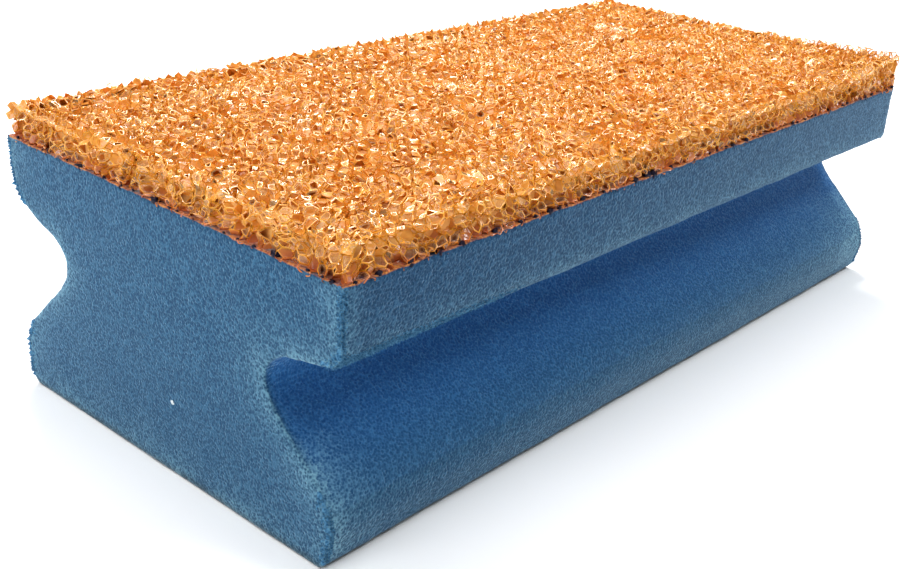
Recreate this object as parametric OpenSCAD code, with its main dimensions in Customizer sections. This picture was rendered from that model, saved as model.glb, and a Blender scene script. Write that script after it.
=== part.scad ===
// Cleaning sponge: a block of fine blue foam with a finger groove cut along
// each long side, and a sheet of coarse open-cell foam bonded on top for scouring.
// The sponge lies on its blue base. X runs along the length, Z is up, and the
// origin is the middle of the base.

/* [Overall] */
// Length of the sponge, cut from one long profile
length = 150; // [90:1:220]
// Width across the upper bar and the scouring layer
width = 70; // [50:1:110]

/* [Foam body] */
// Height of the fine foam, from the base to the bond line
body_h = 39.5; // [38:0.5:60]
// Height of the upper bar's upright sides, to the corner before it is rounded
bar_h = 10.5; // [7:0.5:11]
// Radius of the upper bar's lower corners
bar_r = 2.5; // [0.5:0.5:4]
// Reach of each groove inwards from the bar's side
groove_depth = 12.5; // [7:0.5:16]
// Radius of the groove's root, where the fingertips rest
groove_r = 5; // [3:0.5:6]
// Drop from the bar's lower corner to the middle of the groove's root
groove_drop = 6.7; // [6.2:0.1:9]
// Height of the lower flange's widest line
flange_z = 8.5; // [6:0.5:10]
// How far the flange's corner stands in from the bar's side, before it is rounded
flange_inset = 0.2; // [0:0.1:3]
// Radius of the lower flange's shoulders
flange_r = 7.5; // [2:0.5:9]
// How far the base's edge stands in from the bar's side
base_inset = 2; // [1:0.5:6]
// Radius of the base's long edges
base_r = 2; // [0.5:0.5:3]

/* [Scouring layer] */
// Thickness of the coarse foam sheet
layer_t = 5; // [3:0.5:10]
// Width of one open cell, from rib to rib
cell_w = 2.5; // [2.2:0.1:6]
// Depth of the open cells on the scouring face
cell_depth = 1.3; // [0.4:0.1:1.6]
// Depth of the cells that are cut open along the sheet's sides
side_depth = 0.7; // [0.2:0.1:1]
// How far the ribs wander out of their rows, as a share of their spacing
unevenness = 0.28; // [0:0.02:0.3]

/* [Hidden] */
$fn = 96;
foam_blue = [0.29, 0.49, 0.66];
scour_orange = [0.91, 0.53, 0.18];

// Most of a straight side that the round at one of its ends may take
round_share = 0.48;
// Share of an open cell's depth that every cell has. The rest differs from cell to cell.
even_share = 0.8;
// How much shallower a cell is where it opens to the top and a side at once
rim_fill = 0.5;
// How far the ribs on the sides stand back at most, as a share of the cells' depth there
side_wander = 0.25;
// How far the sides' ribs wander up and down, as a share of how far they wander along
upright_share = 0.6;
wander_seed = 11;

// Sharp corners of one side of the section, as [across, up]
side_y = width / 2;
base_corner = [side_y - base_inset, 0];
flange_corner = [side_y - flange_inset, flange_z];
bar_corner = [side_y, body_h - bar_h];
top_corner = [side_y, body_h];
root_centre = [side_y - groove_depth + groove_r, bar_corner[1] - groove_drop];

function unit(v) = v / norm(v);
function turned(v, a) = [v[0] * cos(a) - v[1] * sin(a), v[0] * sin(a) + v[1] * cos(a)];

// Where the straight line from p touches a circle. side is 1 or -1, for its two tangents.
function tangent_point(p, centre, r, side) =
    let (way = centre - p, d = norm(way))
    p + turned(way / d, side * asin(r / d)) * sqrt(d * d - r * r);

// The groove's straight flanks run from the two corners and touch the root's circle.
upper_flank_end = tangent_point(bar_corner, root_centre, groove_r, -1);
lower_flank_end = tangent_point(flange_corner, root_centre, groove_r, 1);

// What a round of radius r takes off the corner at p, between the points before and after it.
// Its tip stands outside the section, and the round is held inside half of the shorter side.
module corner_waste(before, p, after, r) {
    u = unit(before - p);
    v = unit(after - p);
    inwards = unit(u + v);
    half_angle = acos(u * v) / 2;
    room = round_share * min(norm(before - p), norm(after - p));
    reach = min(r / tan(half_angle), room);
    held_r = reach * tan(half_angle);
    centre = p + inwards * held_r / sin(half_angle);
    difference() {
        polygon([p - inwards * held_r, p + u * reach, centre, p + v * reach]);
        translate(centre) circle(held_r);
    }
}

// What is cut away on the right side: the groove's round root and the rounded corners
module side_waste() {
    translate(root_centre) circle(groove_r);
    corner_waste([0, 0], base_corner, flange_corner, base_r);
    corner_waste(base_corner, flange_corner, lower_flank_end, flange_r);
    corner_waste(upper_flank_end, bar_corner, top_corner, bar_r);
}

// The section: straight sides through the sharp corners, less what is cut away on each side
module section() {
    right_side = [
        base_corner, flange_corner, lower_flank_end,
        upper_flank_end, bar_corner, top_corner
    ];
    last = len(right_side) - 1;
    left_side = [for (i = [last : -1 : 0]) [-right_side[i][0], right_side[i][1]]];
    difference() {
        polygon(concat(right_side, left_side));
        side_waste();
        mirror([1, 0]) side_waste();
    }
}

// The section stands in the YZ plane and is swept along X.
module along_length() {
    rotate([90, 0, 90])
        linear_extrude(length, center = true)
            children();
}

module foam_body() {
    color(foam_blue)
        along_length()
            section();
}

// The sheet's skin is a net of points, wrapped over its top and sides. Every other point is
// the bottom of a cell, sunk below the four ribs' crossings round it, so the skin is a field
// of four-sided pits. Each point wanders a little, as cells in foam do.
spacing = cell_w / sqrt(2);
across_x = max(2, round(length / spacing));
across_y = max(2, round(width / spacing));
rows_up = max(1, round(layer_t / spacing));
row_points = across_x + 1;
level_points = row_points * (across_y + 1);
wander = [for (axis = [0 : 2]) rands(-1, 1, level_points * (rows_up + 1), wander_seed + axis)];

// Inwards direction of a net line's ends: 1 at its start, -1 at its end, 0 between
function inwards(i, last) = i == 0 ? 1 : i == last ? -1 : 0;

// Each point is pushed inwards on the faces that it lies on, and wanders along the others.
// A cell cut open at the rim is shallower, because it opens to two faces.
function net_point(i, j, k) =
    let (
        n = i + row_points * j + level_points * k,
        sunk = (i + j + k) % 2,
        in_x = inwards(i, across_x),
        in_y = inwards(j, across_y),
        on_top = k == rows_up,
        on_bond = k == 0,
        spread = unevenness * spacing,
        at_sides = abs(in_x) + abs(in_y),
        side_in = side_depth * (sunk + side_wander * abs(wander[0][n])) / (on_top ? 1 + sunk : 1),
        varied = even_share * sunk + (1 - even_share) * abs(wander[2][n]),
        top_in = cell_depth * varied / (1 + rim_fill * sunk * at_sides),
        x_shift = in_x == 0 ? spread * wander[0][n] : in_x * side_in,
        y_shift = in_y == 0 ? spread * wander[1][n] : in_y * side_in,
        z_shift = on_top ? -top_in : on_bond ? 0 : upright_share * spread * wander[2][n]
    )
    [
        length * (i / across_x - 1 / 2) + x_shift,
        width * (j / across_y - 1 / 2) + y_shift,
        body_h + layer_t * k / rows_up + z_shift
    ];

// The net's outer loop, as [i, j] from corner to corner
ring = concat(
    [for (i = [0 : across_x - 1]) [i, 0]],
    [for (j = [0 : across_y - 1]) [across_x, j]],
    [for (i = [across_x : -1 : 1]) [i, across_y]],
    [for (j = [across_y : -1 : 1]) [0, j]]
);
ring_points = len(ring);

// The points are the top's rows, then the rings below it from the bond line up.
net_points = concat(
    [for (j = [0 : across_y], i = [0 : across_x]) net_point(i, j, rows_up)],
    [for (k = [0 : rows_up - 1], corner = ring) net_point(corner[0], corner[1], k)]
);

function top_index(i, j) = i + row_points * j;
function side_index(r, k) =
    let (turn = r % ring_points)
    k == rows_up ? top_index(ring[turn][0], ring[turn][1]) : level_points + k * ring_points + turn;

// Four corners in order, split along the two that are ribs, so that pits stay whole
function split(a, b, c, d, first_sunk) = first_sunk ? [[a, b, d], [b, c, d]] : [[a, b, c], [a, c, d]];

net_faces = concat(
    [for (j = [0 : across_y - 1], i = [0 : across_x - 1])
        each split(
            top_index(i, j), top_index(i, j + 1), top_index(i + 1, j + 1), top_index(i + 1, j),
            (i + j + rows_up) % 2 == 1
        )],
    [for (k = [0 : rows_up - 1], r = [0 : ring_points - 1])
        each split(
            side_index(r, k), side_index(r, k + 1), side_index(r + 1, k + 1), side_index(r + 1, k),
            (ring[r][0] + ring[r][1] + k) % 2 == 1
        )],
    [[for (r = [0 : ring_points - 1]) side_index(r, 0)]]
);

module scouring_layer() {
    color(scour_orange)
        polyhedron(points = net_points, faces = net_faces);
}

foam_body();
scouring_layer();
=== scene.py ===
import math

import bmesh
import bpy
import numpy as np
from mathutils import Matrix, Vector, kdtree, noise


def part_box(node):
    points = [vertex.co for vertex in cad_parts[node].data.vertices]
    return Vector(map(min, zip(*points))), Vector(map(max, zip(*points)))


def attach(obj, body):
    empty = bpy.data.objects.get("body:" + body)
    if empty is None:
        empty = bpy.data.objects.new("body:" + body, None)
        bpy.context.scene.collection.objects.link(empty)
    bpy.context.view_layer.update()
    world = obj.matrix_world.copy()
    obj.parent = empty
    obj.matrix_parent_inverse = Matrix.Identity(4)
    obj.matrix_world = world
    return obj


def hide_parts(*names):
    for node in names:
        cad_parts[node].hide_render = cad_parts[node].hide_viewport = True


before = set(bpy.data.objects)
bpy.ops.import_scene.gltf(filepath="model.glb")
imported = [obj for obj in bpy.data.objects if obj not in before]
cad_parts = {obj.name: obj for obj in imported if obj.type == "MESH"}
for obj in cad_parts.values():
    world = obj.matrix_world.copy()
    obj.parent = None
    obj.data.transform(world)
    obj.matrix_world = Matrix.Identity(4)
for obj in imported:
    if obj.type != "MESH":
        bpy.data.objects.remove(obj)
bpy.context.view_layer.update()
MM = 0.001
scene = bpy.context.scene
# Without a seed, the noise gives another net of ribs each time.
noise.seed_set(7)


# Fine foam body. The real piece is one block of soft polyurethane foam, cut from a larger
# block along its profile with a hot wire or blade: a bar on top, a finger groove along each
# side and a flange below. The cut opens the fine cells on every face.
body_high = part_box("foam_body")[1]
half_length = body_high.x
half_width = body_high.y
bond_z = body_high.z
bar_height = 10.5 * MM
bar_round = 2.5 * MM
bar_corner = Vector((half_width, bond_z - bar_height))
groove_depth = 12.5 * MM
groove_corner_in = 18.0 * MM
groove_corner_z = 25.3 * MM
groove_round = 5.0 * MM
flange_inset = 0.2 * MM
flange_z = 8.5 * MM
flange_round = 7.5 * MM
base_inset = 2.0 * MM
base_round = 2.0 * MM
base_corner = Vector((half_width - base_inset, 0.0))
body_grid = 0.85 * MM
round_steps = 8
cut_weld = 1e-6


def corner_reach(before, corner, after, radius):
    """How far from the corner a round of this radius touches its two sides."""
    angle = (before - corner).angle(after - corner)
    return radius / math.tan(angle / 2)


def section_face(bm, x):
    """The section as one face in the plane x, its corners rounded by vertex bevels."""
    side = [
        (half_width - base_inset, 0.0, base_round),
        (half_width - flange_inset, flange_z, flange_round),
        (half_width - groove_corner_in, groove_corner_z, groove_round),
        (bar_corner.x, bar_corner.y, bar_round),
        (half_width, bond_z, 0.0),
    ]
    outline = side + [(-y, z, r) for y, z, r in reversed(side)]
    verts = [bm.verts.new((x, y, z)) for y, z, _ in outline]
    bm.faces.new(verts)
    places = [v.co.copy() for v in verts]
    for i, (_, _, radius) in enumerate(outline):
        if radius == 0.0:
            continue
        after = places[(i + 1) % len(places)]
        bmesh.ops.bevel(
            bm, geom=[verts[i]], offset=corner_reach(places[i - 1], places[i], after, radius),
            offset_type="OFFSET", segments=round_steps, profile=0.5, affect="VERTICES",
            material=-1, clamp_overlap=False,
        )


def cut_across(bm, direction, place):
    """Cuts every face along one plane."""
    bmesh.ops.bisect_plane(
        bm, geom=bm.verts[:] + bm.edges[:] + bm.faces[:], dist=cut_weld,
        plane_co=direction * place, plane_no=direction,
    )


def cut_in_rows(bm, axis, low, high, step):
    """Cuts every face across one axis at even steps."""
    direction = Vector((0, 0, 0))
    direction[axis] = 1
    count = round((high - low) / step)
    for n in range(1, count):
        cut_across(bm, direction, low + (high - low) * n / count)


def ease(bm, verts, factor=0.4):
    """Moves each point towards the middle of its neighbours."""
    bmesh.ops.smooth_vert(
        bm, verts=verts, factor=factor, use_axis_x=True, use_axis_y=True, use_axis_z=True
    )


def link(name, bm, materials):
    """Makes one smooth-shaded object at the origin from a finished bmesh."""
    mesh = bpy.data.meshes.new(name)
    bm.to_mesh(mesh)
    bm.free()
    mesh.shade_smooth()
    for material in materials:
        mesh.materials.append(material)
    made = bpy.data.objects.new(name, mesh)
    scene.collection.objects.link(made)
    return made


def seat(piece, node=None):
    """Every piece of the sponge rides on its one body, and the part it stands in for is hidden."""
    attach(piece, "root")
    if node:
        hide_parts(node)


def held(value):
    """Keeps a value between 0 and 1."""
    return max(0.0, min(1.0, value))


def bell(distance, reach):
    """1 at no distance, and next to nothing past twice the reach."""
    return math.exp(-(distance / reach) ** 2)


bm = bmesh.new()
section_face(bm, -half_length)
cut_in_rows(bm, 1, -half_width, half_width, body_grid)
cut_in_rows(bm, 2, 0.0, bond_z, body_grid)
below_bond = bond_z - 0.3 * MM
outline_points = [v.co.copy() for v in bm.verts if v.is_boundary and v.co.z < below_bond]
drawn = bmesh.ops.extrude_face_region(bm, geom=bm.faces[:])
far_end = [g for g in drawn["geom"] if isinstance(g, bmesh.types.BMVert)]
bmesh.ops.translate(bm, verts=far_end, vec=(2 * half_length, 0, 0))
long_edges = [e for e in bm.edges if e.calc_length() > half_length]
bmesh.ops.subdivide_edges(
    bm, edges=long_edges, cuts=round(2 * half_length / body_grid) - 1, use_grid_fill=True
)
bmesh.ops.recalc_face_normals(bm, faces=bm.faces[:])
bm.normal_update()

# The sharp ends of the cut are worn round. A narrow strip beside them keeps the ends' tone
# from running on into the grooves.
end_strip = 0.35 * MM
at_end = 0.1 * MM
on_outline = 0.2 * MM
unworn_height = 1.5 * MM
wear_rounds = 2
rim = kdtree.KDTree(len(outline_points))
for i, point in enumerate(outline_points):
    rim.insert((0, point.y, point.z), i)
rim.balance()


def outline_distance(c):
    """How far a point on an end lies from the outline of the cut."""
    return rim.find((0, c.y, c.z))[2]


sharp_ends = [
    v for v in bm.verts
    if half_length - abs(v.co.x) < at_end and outline_distance(v.co) < on_outline
    and v.co.z < bond_z - unworn_height
]
for _ in range(wear_rounds):
    ease(bm, sharp_ends)
for side in (1, -1):
    cut_across(bm, Vector((1, 0, 0)), side * (half_length - end_strip))
bm.normal_update()

# How near each point lies to an outer edge, where the torn cells stand out and look paler and
# painted light is added, and how far it lies back in the groove, where painted shade makes the blue
# deeper and more saturated.
end_tone_reach = 0.9 * end_strip
edge_reach = 2.3 * MM
fringe_reach = 0.8 * MM
fringe_side = 3.0 * MM
fringe_from = 1.5 * MM
hanging_slope = -2.5
hanging_fade = 45.0 * MM
bar_edge_off = 2.0 * MM
base_edge_weight = 4
bar_shade_fade = 3 * MM
end_fade = 0.8 * MM
# Painted light: the flange near each end is painted paler as a pool of light, wider at the far end.
flange_painted_light = 1.7
flange_light_reach = 3.4 * MM
far_flange_light_reach = 10.0 * MM
groove_dimming = 1.5
groove_fringe_loss = 3
groove_shade_gain = 1.3
edge_layer = bm.verts.layers.float.new("edge")
fringe_layer = bm.verts.layers.float.new("fringe")
groove_shade_layer = bm.verts.layers.float.new("groove_painted_shade")
bar_shade_layer = bm.verts.layers.float.new("bar_painted_shade")
bar_round_cut = 0.59 * bar_round
for v in bm.verts:
    to_end = half_length - abs(v.co.x)
    section_place = Vector((abs(v.co.y), v.co.z))
    on_end = to_end < end_tone_reach
    near_side = half_width - section_place.x < fringe_side and v.co.z > fringe_from
    if on_end:
        reach = outline_distance(v.co)
        v[fringe_layer] = bell(reach, fringe_reach) if near_side else 0.0
    else:
        to_bar_corner = max(0.0, (section_place - bar_corner).length - bar_round_cut)
        hanging = held(hanging_slope * v.normal.z) * bell(to_bar_corner, fringe_reach)
        hanging *= math.exp(-(v.co.x + half_length) / hanging_fade)
        to_base_corner = base_edge_weight * (section_place - base_corner).length
        reach = min(to_end, to_bar_corner + bar_edge_off, to_base_corner)
        v[fringe_layer] = max(hanging, bell(to_end, fringe_reach) if near_side else 0.0)
        v[bar_shade_layer] = min(1.0, to_end / bar_shade_fade) * held((v.co.z - bar_corner.y) / MM)
    v[edge_layer] = math.exp(-reach / edge_reach)
    back = held((half_width - section_place.x) / groove_depth)
    on_flange = base_round < v.co.z < flange_z + flange_round
    if on_flange and not on_end:
        light_pool_reach = flange_light_reach if v.co.x < 0 else far_flange_light_reach
        v[edge_layer] = flange_painted_light * math.exp(-to_end / light_pool_reach) * (1 - back)
    in_groove = flange_z < v.co.z < bar_corner.y + bar_round
    # Painted shade: back in the groove, away from the ends, the blue is painted deeper and more
    # saturated.
    if in_groove and not on_end:
        if not on_flange:
            v[edge_layer] *= (1 - back) ** groove_dimming
        v[fringe_layer] *= max(0.0, 1 - groove_fringe_loss * back)
        v[groove_shade_layer] = min(1.0, groove_shade_gain * back) * (1 - bell(to_end, end_fade))

# The blade wandered a little through the soft foam. One upright corner at the far end is
# worn round, and the bar's lower corner at the back stands a little higher.
flat_margin = 0.2 * MM
long_wave = 9 * MM
short_wave = 2.2 * MM
short_wave_share = 0.5
wave_height = 0.12 * MM
back_corner_shift = Vector((0, -0.8, 2.2)) * MM
back_corner_reach = 4.5 * MM
far_corner_round = 3.4 * MM


def round_far_corner(c):
    """Draws a point in where the upright corner at the far end is worn round."""
    centre = Vector((half_length - far_corner_round, -half_width + far_corner_round))
    out = Vector((c.x - centre.x, c.y - centre.y))
    if out.x > 0 and out.y < 0 and out.length > far_corner_round:
        out *= far_corner_round / out.length
        c.x = centre.x + out.x
        c.y = centre.y + out.y


for v in bm.verts:
    if v.co.z > bar_corner.y:
        round_far_corner(v.co)
    if v.co.z > bond_z - flat_margin or v.co.z < flat_margin:
        continue
    wave = noise.noise(v.co / long_wave) + short_wave_share * noise.noise(v.co / short_wave)
    v.co += v.normal * wave * wave_height
    if v.co.y > 0:
        to_corner = (Vector((v.co.y, v.co.z)) - bar_corner).length
        v.co += back_corner_shift * bell(to_corner, back_corner_reach)


# The foam's colours: dark open pores in a pale woolly net of cell edges, melted and stained where
# it meets the sheet. Painted shade makes the blue deeper and more saturated back in the groove,
# darker on the bar's sides and dark along the foot; the outer edges are paler, partly from the torn
# nap and partly painted light, and the flange near the ends has a painted pool of light.
cells_per_metre = 2400.0
patches_per_metre = 150.0
blue_pore = (0.0060, 0.043, 0.110)
blue_rim = (0.034, 0.133, 0.252)
# Painted shade: the groove's colours, a more saturated blue that stands in for the shade back in
# the groove.
blue_groove_shade_pore = (0.007, 0.072, 0.240)
blue_groove_shade_rim = (0.034, 0.185, 0.460)
# Painted shade: the bar's upright sides are painted a darker blue, fading in from the ends.
blue_bar_shade_pore = (0.0045, 0.032, 0.088)
blue_bar_shade_rim = (0.014, 0.084, 0.192)
# Paler at the outer edges: partly the torn nap's own tone, partly painted light scattered through
# the thin edges.
blue_edge = (0.200, 0.405, 0.510)
# Painted shade: a dark band along the foot, where the foam meets the floor.
blue_base_shade = (0.010, 0.024, 0.038)
bond_orange = (0.850, 0.350, 0.050)
bond_violet = (0.360, 0.090, 0.060)
sheen_tint = (0.55, 0.80, 0.95)
sheen_gain = 0.55
sheen_least = 0.25
sheen_spread = 0.4
edge_cloud_gain = 0.7
edge_cloud_least = 0.4
melt_reach = 0.18 * MM
melt_raggedness = 4.0
base_shade_reach = 1.4 * MM
base_shade_raggedness = 0.8
foam_roughness = 0.95
foam_gloss = 0.2
pore_depth = 0.14 * MM
pore_strength = 0.75
# How far from a cell's middle its rim starts and is full, in cell widths
rim_start = 0.35
rim_full = 0.70
rim_gain = 0.75
rim_least = 0.3
grain_gain = 0.35
grain_fineness = 1.4
cloud_low = 0.35
cloud_high = 0.65
stain_flecks_per_metre = 420.0


def new_material(name):
    """An empty procedural material with its shader."""
    made = bpy.data.materials.new(name)
    made.use_nodes = True
    return made, made.node_tree, made.node_tree.nodes["Principled BSDF"]


def set_finish(shader, roughness, gloss):
    """How rough and how shiny a surface is."""
    shader.inputs["Roughness"].default_value = roughness
    shader.inputs["Specular IOR Level"].default_value = gloss


def math_node(tree, operation, a, b=None):
    """One sum of two sockets or numbers."""
    made = tree.nodes.new("ShaderNodeMath")
    made.operation = operation
    for socket, value in zip(made.inputs, (a, b)):
        if isinstance(value, bpy.types.NodeSocket):
            tree.links.new(value, socket)
        elif value is not None:
            socket.default_value = value
    return made.outputs[0]


def scaled(tree, value, gain, least):
    """A value times a gain, on top of the least it may be."""
    return math_node(tree, "ADD", math_node(tree, "MULTIPLY", value, gain), least)


def blend_colour(tree, mask, low, high):
    """Goes from one colour to another with a mask; each may be a colour or a socket."""
    made = tree.nodes.new("ShaderNodeMix")
    made.data_type = "RGBA"
    tree.links.new(mask, made.inputs[0])
    for socket, value in ((made.inputs[6], low), (made.inputs[7], high)):
        if isinstance(value, bpy.types.NodeSocket):
            tree.links.new(value, socket)
        else:
            socket.default_value = (*value, 1)
    return made.outputs[2]


def spread(tree, value, low, high):
    """Stretches a value between two limits to the whole of 0 to 1."""
    made = tree.nodes.new("ShaderNodeMapRange")
    made.clamp = True
    made.inputs[1].default_value = low
    made.inputs[2].default_value = high
    tree.links.new(value, made.inputs[0])
    return made.outputs[0]


def noise_texture(tree, place, detail):
    """A noise texture in the object's own coordinates."""
    made = tree.nodes.new("ShaderNodeTexNoise")
    made.inputs["Detail"].default_value = detail
    tree.links.new(place.outputs["Object"], made.inputs["Vector"])
    return made


def start_group(name, given_names, result_names):
    """A shared effect with its inputs, its outputs and the object's coordinates."""
    group = bpy.data.node_groups.new(name, "ShaderNodeTree")
    for given in given_names:
        group.interface.new_socket(given, in_out="INPUT", socket_type="NodeSocketFloat")
    for result in result_names:
        group.interface.new_socket(result, in_out="OUTPUT", socket_type="NodeSocketFloat")
    given = group.nodes.new("NodeGroupInput")
    result = group.nodes.new("NodeGroupOutput")
    return group, given, result, group.nodes.new("ShaderNodeTexCoord")


def make_cell_grain():
    """Fine open cells: dark pores in a pale woolly net, with a soft grain and cloudy patches."""
    group, given, result, place = start_group(
        "cell_grain", ("Cells per metre", "Patches per metre"), ("Rims", "Patches", "Height")
    )
    cells = group.nodes.new("ShaderNodeTexVoronoi")
    group.links.new(place.outputs["Object"], cells.inputs["Vector"])
    group.links.new(given.outputs[0], cells.inputs["Scale"])
    patches = noise_texture(group, place, 3.0)
    group.links.new(given.outputs[1], patches.inputs["Scale"])
    catches = group.nodes.new("ShaderNodeSeparateColor")
    group.links.new(cells.outputs["Color"], catches.inputs[0])
    uneven = scaled(group, catches.outputs[0], 1 - rim_least, rim_least)
    rim = spread(group, cells.outputs["Distance"], rim_start, rim_full)
    rims = math_node(group, "MULTIPLY", rim, uneven)
    grain = noise_texture(group, place, 2.0)
    finer = math_node(group, "MULTIPLY", given.outputs[0], grain_fineness)
    group.links.new(finer, grain.inputs["Scale"])
    woolly = math_node(
        group, "MULTIPLY", spread(group, grain.outputs[0], cloud_low, cloud_high), grain_gain
    )
    mixed = math_node(group, "ADD", math_node(group, "MULTIPLY", rims, rim_gain), woolly)
    clouds = spread(group, patches.outputs[0], cloud_low, cloud_high)
    group.links.new(mixed, result.inputs["Rims"])
    group.links.new(clouds, result.inputs["Patches"])
    group.links.new(cells.outputs["Distance"], result.inputs["Height"])
    return group


def make_height_stain_and_shade():
    """Fades in towards one height, with a ragged edge."""
    group, given, result, place = start_group(
        "height_stain_and_shade", ("Height", "Reach", "Raggedness"), ("Stain_and_shade",)
    )
    axes = group.nodes.new("ShaderNodeSeparateXYZ")
    group.links.new(place.outputs["Object"], axes.inputs[0])
    ragged = noise_texture(group, place, 2.0)
    ragged.inputs["Scale"].default_value = stain_flecks_per_metre
    away = math_node(group, "SUBTRACT", axes.outputs[2], given.outputs[0])
    distance = math_node(group, "ABSOLUTE", away)
    near = math_node(group, "SUBTRACT", 1.0, math_node(group, "DIVIDE", distance, given.outputs[1]))
    centred = math_node(group, "SUBTRACT", ragged.outputs[0], 0.5)
    swing = math_node(group, "MULTIPLY", centred, given.outputs[2])
    stain = spread(group, math_node(group, "ADD", near, swing), 0.0, 1.0)
    group.links.new(stain, result.inputs["Stain_and_shade"])
    return group


def grouped(tree, group, *values):
    """Puts a shared effect in a material, with its values."""
    made = tree.nodes.new("ShaderNodeGroup")
    made.node_tree = group
    for socket, value in zip(made.inputs, values):
        socket.default_value = value
    return made


def measured(tree, layer):
    """What the mesh holds in one of its layers."""
    made = tree.nodes.new("ShaderNodeAttribute")
    made.attribute_name = layer
    return made.outputs["Fac"]


def roughen(tree, shader, height, distance, strength):
    """Feeds a height to the shader's normal as bump."""
    bump = tree.nodes.new("ShaderNodeBump")
    bump.inputs["Distance"].default_value = distance
    bump.inputs["Strength"].default_value = strength
    tree.links.new(height, bump.inputs["Height"])
    tree.links.new(bump.outputs[0], shader.inputs["Normal"])


cell_grain = make_cell_grain()
height_stain_and_shade = make_height_stain_and_shade()
fine_foam, tree, shader = new_material("fine_blue_foam")
grain = grouped(tree, cell_grain, cells_per_metre, patches_per_metre)
rims = grain.outputs["Rims"]
open_blue = blend_colour(tree, rims, blue_pore, blue_rim)
groove_shaded_blue = blend_colour(tree, rims, blue_groove_shade_pore, blue_groove_shade_rim)
bar_shaded_blue = blend_colour(tree, rims, blue_bar_shade_pore, blue_bar_shade_rim)
# Painted shade on the bar's upright sides.
blue_with_bar_shade = blend_colour(tree, measured(tree, "bar_painted_shade"), open_blue, bar_shaded_blue)
body_blue = blend_colour(tree, measured(tree, "groove_painted_shade"), blue_with_bar_shade, groove_shaded_blue)
edge_cloud = scaled(tree, grain.outputs["Patches"], edge_cloud_gain, edge_cloud_least)
edge_rims = math_node(tree, "MULTIPLY", measured(tree, "edge"), rims)
edge_mask = math_node(tree, "MULTIPLY", edge_cloud, edge_rims)
# Paler towards the outer edges: partly torn nap, partly painted light.
edged_blue = blend_colour(tree, edge_mask, body_blue, blue_edge)
melted = blend_colour(tree, rims, bond_violet, bond_orange)
melt = grouped(tree, height_stain_and_shade, bond_z, melt_reach, melt_raggedness)
stained_blue = blend_colour(tree, melt.outputs[0], edged_blue, melted)
# Painted shade along the foot.
base_shade = grouped(tree, height_stain_and_shade, 0.0, base_shade_reach, base_shade_raggedness)
base_shaded_blue = blend_colour(tree, base_shade.outputs[0], stained_blue, blue_base_shade)
tree.links.new(base_shaded_blue, shader.inputs["Base Color"])
set_finish(shader, foam_roughness, foam_gloss)
tree.links.new(scaled(tree, rims, sheen_gain, sheen_least), shader.inputs["Sheen Weight"])
shader.inputs["Sheen Roughness"].default_value = sheen_spread
shader.inputs["Sheen Tint"].default_value = (*sheen_tint, 1)
roughen(tree, shader, rims, pore_depth, pore_strength)
nap = bm.copy()
foam_block = link("foam_block", bm, [fine_foam])
seat(foam_block, "foam_body")


# Nap. Wherever the blade cut the foam, the cell walls that it tore stand up from the edges as tiny
# pale points of the same blue foam. Their paler tone is painted light, for the glow through their
# thin walls, set against their own shade.
torn_deep = (0.016, 0.080, 0.180)
torn_pale_glow = (0.120, 0.320, 0.520)
torn_gloss = 0.1
nap_threshold = 0.45
nap_cuts = 2
nap_inset = 0.02 * MM
nap_grain = 0.05 * MM
nap_shift = 0.24 * MM
nap_sunk = 0.06
nap_sway = 0.30 * MM
nap_low = 0.06 * MM
nap_high = 0.5 * MM
nap_even = 0.9
nap_uneven = 0.6


def is_smooth(f):
    """A face with no fringe, or on the flat top or base."""
    height = f.calc_center_median().z
    fringe = max(v[fringe_layer] for v in f.verts)
    return fringe < nap_threshold or height > bond_z - flat_margin or height < flat_margin


torn_foam, tree, shader = new_material("torn_blue_foam")
grain = grouped(tree, cell_grain, cells_per_metre, patches_per_metre)
torn_glowing_blue = blend_colour(tree, grain.outputs["Rims"], torn_deep, torn_pale_glow)
tree.links.new(torn_glowing_blue, shader.inputs["Base Color"])
set_finish(shader, foam_roughness, torn_gloss)

fringe_layer = nap.verts.layers.float["fringe"]
bmesh.ops.delete(nap, geom=[f for f in nap.faces if is_smooth(f)], context="FACES")
bmesh.ops.subdivide_edges(nap, edges=nap.edges[:], cuts=nap_cuts, use_grid_fill=True)
nap_faces = nap.faces[:]
bmesh.ops.inset_individual(nap, faces=nap_faces, thickness=nap_inset, use_even_offset=False)
points = set(nap_faces)
bmesh.ops.delete(nap, geom=[f for f in nap.faces if f not in points], context="FACES_ONLY")
nap.normal_update()
for f in nap_faces:
    normal = f.normal.copy()
    shift = noise.noise_vector(f.calc_center_median() / nap_grain) * nap_shift
    shift -= normal * nap_sunk * MM
    for v in f.verts:
        v.co += shift
poked = bmesh.ops.poke(nap, faces=nap_faces)
nap.normal_update()
for v in poked["verts"]:
    fringe = max(e.other_vert(v)[fringe_layer] for e in v.link_edges)
    height = nap_low + (nap_high - nap_low) * fringe ** 2
    sway = noise.noise_vector(v.co / nap_grain) * nap_sway
    v.co += v.normal * height * (nap_even + nap_uneven * noise.noise(v.co / nap_grain)) + sway
foam_nap = link("foam_nap", nap, [torn_foam])
seat(foam_nap)


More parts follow.
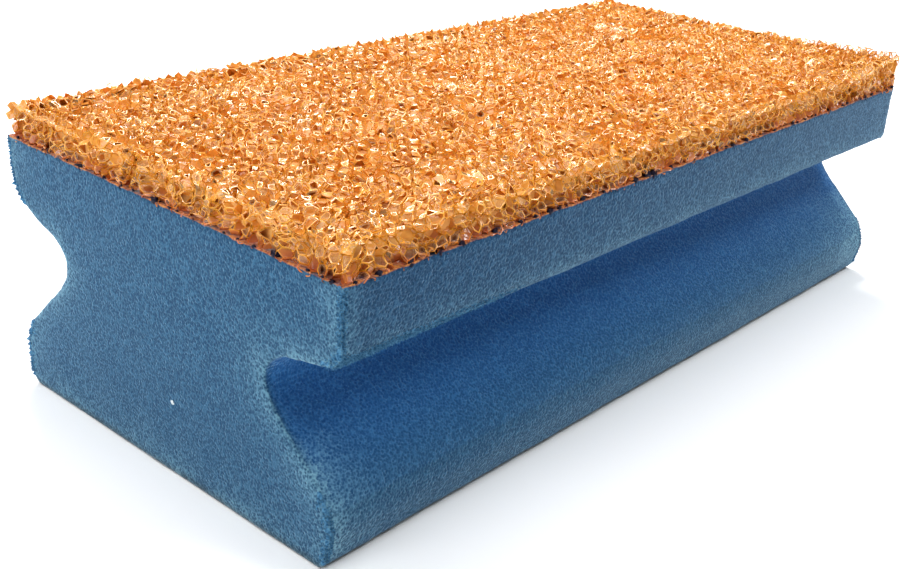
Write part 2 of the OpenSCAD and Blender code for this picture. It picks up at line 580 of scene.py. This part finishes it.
# Scouring layer. The real piece is a sheet of coarse open-cell foam, a net of glossy orange
# ribs round cells about 2 mm wide, with thin clear skins left across many of them. It is
# melted onto the body with its sides flush.
top_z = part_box("scouring_layer")[1].z
cell = 2.1 * MM
cell_corner = 0.75 * cell
stack_drop = 1.3 * cell
spare_cells = 3
net_weld = 0.05 * MM
shake_reach = 0.13 * cell
drift_patch = 2.8 * cell
drift_share = 0.75
drift_rise = 0.5
rib_widths = (0.11 * MM, 0.15 * MM, 0.20 * MM)
cup_rib_width = 0.13 * MM
torn_rim = 0.28 * MM
least_depth = 0.1 * MM
lowest_wall = 0.7 * MM
open_depth = 1.0 * MM
melted_height = 0.9 * MM
melted_depth = 0.5 * MM
dense_strip = 3.0 * MM
dense_depth = 0.35 * MM
cup_depth = 1.9 * MM
proud = 0.15 * MM
sag = 0.9 * MM
sag_patch = 1.6 * MM
sag_even = 0.4
skin_share = 0.18
torn_share = 0.34
skinned_height = 1.3 * MM
skinned_gain = 0.5
curled_corner = Vector((half_length, -half_width))
curl_reach = 22 * MM
curl_share = 0.26

# One cell is an octahedron with its six tips cut off. Half of its fourteen walls are kept,
# because the neighbours on the far side bring the other half.
stack_mesh = bmesh.new()
bmesh.ops.create_uvsphere(stack_mesh, u_segments=4, v_segments=2, radius=cell_corner)
stack_mesh.edges.ensure_lookup_table()
bmesh.ops.bevel(
    stack_mesh, geom=stack_mesh.verts[:], offset=stack_mesh.edges[0].calc_length() / 3,
    offset_type="OFFSET", segments=1, profile=0.5, affect="VERTICES", material=-1,
    clamp_overlap=False,
)
stack_mesh.normal_update()
one_side = Vector((0.01, 0.1, 1.0))
bmesh.ops.delete(
    stack_mesh, geom=[f for f in stack_mesh.faces if f.normal.dot(one_side) < 0], context="FACES"
)
twin = bmesh.ops.duplicate(
    stack_mesh, geom=stack_mesh.verts[:] + stack_mesh.edges[:] + stack_mesh.faces[:]
)
bmesh.ops.translate(
    stack_mesh, verts=[g for g in twin["geom"] if isinstance(g, bmesh.types.BMVert)],
    vec=(cell / 2, cell / 2, cell / 2),
)
bmesh.ops.translate(
    stack_mesh, verts=stack_mesh.verts[:],
    vec=(-half_length - cell, -half_width - cell, bond_z - stack_drop),
)
stack = link("cell_stack", stack_mesh, [])
for axis, extent in enumerate((2 * half_length, 2 * half_width, top_z - bond_z)):
    row = stack.modifiers.new(f"row_{axis}", "ARRAY")
    row.use_relative_offset = False
    row.use_constant_offset = True
    row.constant_offset_displace = [cell if a == axis else 0.0 for a in range(3)]
    row.count = math.ceil(extent / cell) + spare_cells
grown = stack.evaluated_get(bpy.context.evaluated_depsgraph_get())
net = bmesh.new()
net.from_mesh(grown.to_mesh())
grown.to_mesh_clear()
bpy.data.objects.remove(stack)
bmesh.ops.remove_doubles(net, verts=net.verts[:], dist=net_weld)

# Cells in real foam differ in size and lean, so the lattice is drawn out in some places and
# squeezed in others, shaken, and then eased as bubbles ease against each other.
rng = np.random.default_rng(7)
shake = rng.normal(0, shake_reach, (len(net.verts), 3))
for v, shift in zip(net.verts, shake):
    drift = noise.noise_vector(v.co / drift_patch) * drift_share * cell
    v.co += Vector((drift.x, drift.y, drift_rise * drift.z)) + Vector(shift)
ease(net, net.verts[:])


def depth_in_sheet(c):
    """How far a point lies below the sheet's top or behind its sides."""
    return min(half_length - abs(c.x), half_width - abs(c.y), top_z - c.z)


def is_spare(f):
    """A wall outside the sheet, or too deep in it to be seen."""
    c = f.calc_center_median()
    depth = depth_in_sheet(c)
    return depth < least_depth or depth > cup_depth or c.z < bond_z - lowest_wall


def hold_in(c):
    """Keeps a point within the sheet and its worn far corner, with a ragged lower line."""
    c.x = max(-half_length - proud, min(half_length + proud, c.x))
    c.y = max(-half_width - proud, min(half_width + proud, c.y))
    hanging = sag * held(sag_even + noise.noise(c / sag_patch))
    c.z = max(bond_z - hanging, min(top_z + proud, c.z))
    round_far_corner(c)


bmesh.ops.delete(net, geom=[f for f in net.faces if is_spare(f)], context="FACES")
for v in net.verts:
    hold_in(v.co)
    to_corner = (v.co.xy - curled_corner).length
    curl = curl_share * bell(to_corner, curl_reach)
    v.co.z += curl * max(0.0, v.co.z - bond_z)


# The deeper walls are closed and make the bottoms of the open cells. The lowest cells and
# those along the back and the far end are closed nearer to the surface.
def is_closed(f):
    """Whether a wall is one of those that close a cell."""
    c = f.calc_center_median()
    low = c.z < bond_z + melted_height
    behind = min(half_width - c.y, half_length - c.x) < dense_strip
    return depth_in_sheet(c) > (melted_depth if low else dense_depth if behind else open_depth)


# The outer walls keep a frame of ribs. Some of the frames keep a skin, and others only the
# torn rim of one. In the lowest cells more of the skins are whole.
walls = net.faces[:]
cup_walls = [f for f in walls if is_closed(f)]
cup_set = set(cup_walls)
outer_walls = [f for f in walls if f not in cup_set]
cups = net.copy()
cups.faces.ensure_lookup_table()
net.faces.index_update()
bmesh.ops.delete(cups, geom=[cups.faces[f.index] for f in outer_walls], context="FACES")
cup_faces = cups.faces[:]
bmesh.ops.inset_individual(
    cups, faces=cup_faces, thickness=cup_rib_width, use_even_offset=False
)
for f in cup_faces:
    f.material_index = 1
bmesh.ops.delete(net, geom=cup_walls, context="FACES")
width_of = rng.integers(0, len(rib_widths), len(outer_walls))
for i, width in enumerate(rib_widths):
    bmesh.ops.inset_individual(
        net, faces=[f for f, w in zip(outer_walls, width_of) if w == i],
        thickness=width, use_even_offset=False,
    )
state = rng.random(len(outer_walls))
for i, f in enumerate(outer_walls):
    f.material_index = 1
    if f.calc_center_median().z < bond_z + skinned_height:
        state[i] *= skinned_gain
torn = [f for f, s in zip(outer_walls, state) if skin_share < s < skin_share + torn_share]
bmesh.ops.inset_individual(net, faces=torn, thickness=torn_rim, use_even_offset=False)
gone = [f for f, s in zip(outer_walls, state) if s > skin_share]
bmesh.ops.delete(net, geom=gone, context="FACES_ONLY")

# The sheet's colours: glossy ribs, cell walls with a softer gloss and thin, clear skins, all
# of them redder towards the bond line. Each has a light, a deep and a stained tone.
rib_tones = ((0.820, 0.380, 0.040), (0.720, 0.270, 0.016), (0.680, 0.150, 0.035))
cup_tones = ((0.77, 0.345, 0.060), (0.68, 0.250, 0.028), (0.52, 0.140, 0.045))
skin_tones = ((0.86, 0.56, 0.26), (0.83, 0.46, 0.14), (0.62, 0.25, 0.15))
rib_stain_reach = 0.9 * MM
cup_stain_reach = 3.0 * MM
skin_stain_reach = 2.2 * MM
rib_roughness = 0.26
cup_roughness = 0.18
skin_roughness = 0.11
skin_clearness = 0.30
cup_bump = (0.15 * MM, 0.5)
skin_bump = (0.2 * MM, 0.7)
sheet_gloss = 0.8
sheet_grains_per_metre = 1500.0
sheet_clouds_per_metre = 600.0
sheet_raggedness = 1.2


def orange_material(name, tones, stain_reach, roughness):
    """Glossy orange with cloudy tone that turns to another colour towards the bond line."""
    light, deep, stained = tones
    made, tree, shader = new_material(name)
    tone = grouped(tree, cell_grain, sheet_grains_per_metre, sheet_clouds_per_metre)
    stain = grouped(tree, height_stain_and_shade, bond_z, stain_reach, sheet_raggedness)
    fresh = blend_colour(tree, tone.outputs["Patches"], deep, light)
    turned = blend_colour(tree, stain.outputs[0], fresh, stained)
    tree.links.new(turned, shader.inputs["Base Color"])
    set_finish(shader, roughness, sheet_gloss)
    return made, tree, shader, tone.outputs["Height"]


rib_orange = orange_material("rib_orange", rib_tones, rib_stain_reach, rib_roughness)[0]
cup_orange, tree, shader, height = orange_material(
    "cup_orange", cup_tones, cup_stain_reach, cup_roughness
)
roughen(tree, shader, height, *cup_bump)
skin_orange, tree, shader, height = orange_material(
    "skin_orange", skin_tones, skin_stain_reach, skin_roughness
)
shader.inputs["Alpha"].default_value = skin_clearness
roughen(tree, shader, height, *skin_bump)


def is_skin(f):
    return f.material_index == 1


def is_rib(f):
    return not is_skin(f)


def is_top_rib(f):
    c = f.calc_center_median()
    from_side = min(half_length - abs(c.x), half_width - abs(c.y))
    return is_rib(f) and top_z - c.z <= from_side


def is_side_rib(f):
    return is_rib(f) and not is_top_rib(f)


for name, whole, belongs, material in (
    ("scour_top_ribs", net, is_top_rib, rib_orange),
    ("scour_side_ribs", net, is_side_rib, rib_orange),
    ("scour_skins", net, is_skin, skin_orange),
    ("scour_deep_ribs", cups, is_rib, rib_orange),
    ("scour_cell_walls", cups, is_skin, cup_orange),
):
    piece = whole.copy()
    bmesh.ops.delete(piece, geom=[f for f in piece.faces if not belongs(f)], context="FACES")
    for f in piece.faces:
        f.material_index = 0
    seat(link(name, piece, [material]), "scouring_layer")
net.free()
cups.free()


# Heart. The inside of the same sheet, where no light reaches: a plain dull block behind the open
# cells, which stands for all the cells that are too deep to be seen. Its light orange tones are
# painted light, for the glow that comes through the translucent cells.
heart_glow_tones = ((0.85, 0.43, 0.09), (0.75, 0.32, 0.055), (0.50, 0.22, 0.14))
heart_stain_reach = 0.8 * MM
heart_roughness = 0.7
heart_cuts = 3
inner = 1.5 * MM
heart = bmesh.new()
bmesh.ops.create_cube(heart, size=1)
bmesh.ops.scale(
    heart, verts=heart.verts[:],
    vec=(2 * (half_length - inner), 2 * (half_width - inner), top_z - bond_z - inner),
)
bmesh.ops.translate(heart, verts=heart.verts[:], vec=(0, 0, (top_z - inner + bond_z) / 2))
bmesh.ops.subdivide_edges(heart, edges=heart.edges[:], cuts=heart_cuts, use_grid_fill=True)
heart_glow_orange = orange_material("heart_glow_orange", heart_glow_tones, heart_stain_reach, heart_roughness)[0]
sheet_heart = link("scour_heart", heart, [heart_glow_orange])
seat(sheet_heart)


# Shade pits. Small near-black beads along the bond line, seen through the sheet's lowest cells:
# painted shade for the deep holes at the seam that light does not reach.
pit_shade_tones = ((0.016, 0.005, 0.022), (0.004, 0.005, 0.018), (0.006, 0.005, 0.018))
pit_stain_reach = 0.8 * MM
pit_roughness = 0.5
pit_gloss = 0.15
pit_gap = 3.8 * MM
pit_gap_range = (0.35, 1.8)
pit_size = 0.46 * MM
pit_least = 0.5
pit_growth = 1.2
pit_sunk = 0.20 * MM
pit_below = -0.20
pit_above = 0.25
pit_flatness = 0.45
pit_height = 0.75
pit_swell = 0.9
pit_lump = 0.3 * MM
corner_gap = 2 * MM
sides = (
    (Vector((1, 0, 0)), Vector((0, -1, 0)), half_length, half_width),
    (Vector((1, 0, 0)), Vector((0, 1, 0)), half_length, half_width),
    (Vector((0, 1, 0)), Vector((-1, 0, 0)), half_width, half_length),
    (Vector((0, 1, 0)), Vector((1, 0, 0)), half_width, half_length),
)
pits = bmesh.new()
for along, outward, reach, distance in sides:
    place = -reach + corner_gap
    while place < reach - corner_gap:
        bead = bmesh.ops.create_icosphere(pits, subdivisions=2, radius=pit_size)["verts"]
        size = pit_least + pit_growth * rng.random() ** 2
        flat = Vector((1, 1, 1)) - Vector([abs(c) for c in outward]) * pit_flatness
        centre = along * place + outward * (distance - pit_sunk * size)
        centre.z = bond_z + rng.uniform(pit_below, pit_above) * MM
        for v in bead:
            lump = noise.noise(v.co / pit_lump + Vector((place, 0, 0)) / MM)
            v.co = v.co * size * (1 + pit_swell * lump) * flat
            v.co.z *= pit_height
            v.co += centre
        place += pit_gap * rng.uniform(*pit_gap_range)
pit_shade, _, shader, _ = orange_material(
    "pit_shade", pit_shade_tones, pit_stain_reach, pit_roughness
)
set_finish(shader, pit_roughness, pit_gloss)
shade_pits = link("shade_pits", pits, [pit_shade])
seat(shade_pits)


# Soap crumb. The small pale spot on the near end is a crumb of dried soap, less than a
# millimetre wide, that has stuck to the blue foam.
soap_tones = ((0.62, 0.70, 0.74), (0.86, 0.90, 0.92))
soap_roughness = 0.35
soap_grains_per_metre = 6000.0
soap_clouds_per_metre = 1500.0
crumb_place = Vector((-half_length - 0.05 * MM, -2.9 * MM, 11.4 * MM))
crumb_size = 0.30 * MM
crumb_lump = 0.25 * MM
crumb_swell = 0.7
crumb_thickness = 0.5
crumb = bmesh.new()
lump = bmesh.ops.create_icosphere(crumb, subdivisions=3, radius=crumb_size)["verts"]
for v in lump:
    v.co *= 1 + crumb_swell * noise.noise(v.co / crumb_lump)
    v.co.x *= crumb_thickness
    v.co += crumb_place
soap_white, tree, shader = new_material("soap_white")
tone = grouped(tree, cell_grain, soap_grains_per_metre, soap_clouds_per_metre)
soap = blend_colour(tree, tone.outputs["Patches"], *soap_tones)
tree.links.new(soap, shader.inputs["Base Color"])
shader.inputs["Roughness"].default_value = soap_roughness
soap_crumb = link("soap_crumb", crumb, [soap_white])
seat(soap_crumb)


# Stage. A plain pale floor, soft light from large round panels and a pale room all round.
# Two small panels behind put the sparkle on the glossy ribs.
floor_reach = 3.0
floor_tone = (0.97, 0.97, 0.97)
floor_roughness = 0.8
room_tone = (0.95, 0.97, 1.0)
room_strength = 0.2
white = (1.0, 1.0, 1.0)
left_tone = (0.97, 0.99, 1.0)
right_tone = (0.96, 0.99, 1.0)
middle = (0, 0, 0.02)
bm = bmesh.new()
bmesh.ops.create_grid(bm, x_segments=1, y_segments=1, size=floor_reach)
floor_white, _, shader = new_material("floor_white")
shader.inputs["Base Color"].default_value = (*floor_tone, 1)
shader.inputs["Roughness"].default_value = floor_roughness
floor = link("floor", bm, [floor_white])

world = bpy.data.worlds.new("pale_room")
world.use_nodes = True
world.node_tree.nodes["Background"].inputs["Color"].default_value = (*room_tone, 1)
world.node_tree.nodes["Background"].inputs["Strength"].default_value = room_strength
scene.world = world
scene.view_settings.view_transform = "Standard"


def panel(name, place, size, power, colour):
    """A round light that faces the sponge: its place and width in metres, its power in watts."""
    light = bpy.data.lights.new(name, "AREA")
    light.shape = "DISK"
    light.size = size
    light.energy = power
    light.color = colour
    made = bpy.data.objects.new(name, light)
    made.location = place
    made.rotation_euler = (Vector(middle) - Vector(place)).to_track_quat("-Z", "Y").to_euler()
    scene.collection.objects.link(made)


panel("overhead", (-0.05, 0.03, 0.9), 0.8, 5.3, white)
panel("back", (0.45, 0.60, 0.32), 0.4, 5.6, white)
panel("spark", (0.25, 0.30, 0.60), 0.14, 2.6, white)
panel("second_spark", (-0.15, 0.50, 0.50), 0.14, 2.0, white)
panel("left", (-0.8, 0.05, 0.30), 0.5, 2.8, left_tone)
panel("right", (0.28, -0.38, 0.62), 0.3, 2.6, right_tone)


# Camera. It stands close, off the near corner, a little above the sponge, and leans a little
# to one side.
camera_place = Vector((-161.7, -123.7, 95.4)) * MM
camera_aim = Vector((-6.42, 7.59, 5.55)) * MM
camera_roll = 4.06
sensor_width = 36.0
focal_length = 49.03
nearest_seen = 0.01
lens = bpy.data.cameras.new("camera")
lens.sensor_width = sensor_width
lens.lens = focal_length
lens.clip_start = nearest_seen
camera = bpy.data.objects.new("camera", lens)
camera.location = camera_place
look = (camera_aim - camera_place).to_track_quat("-Z", "Y").to_matrix()
camera.rotation_euler = (look @ Matrix.Rotation(math.radians(camera_roll), 3, "Z")).to_euler()
scene.collection.objects.link(camera)
scene.camera = camera
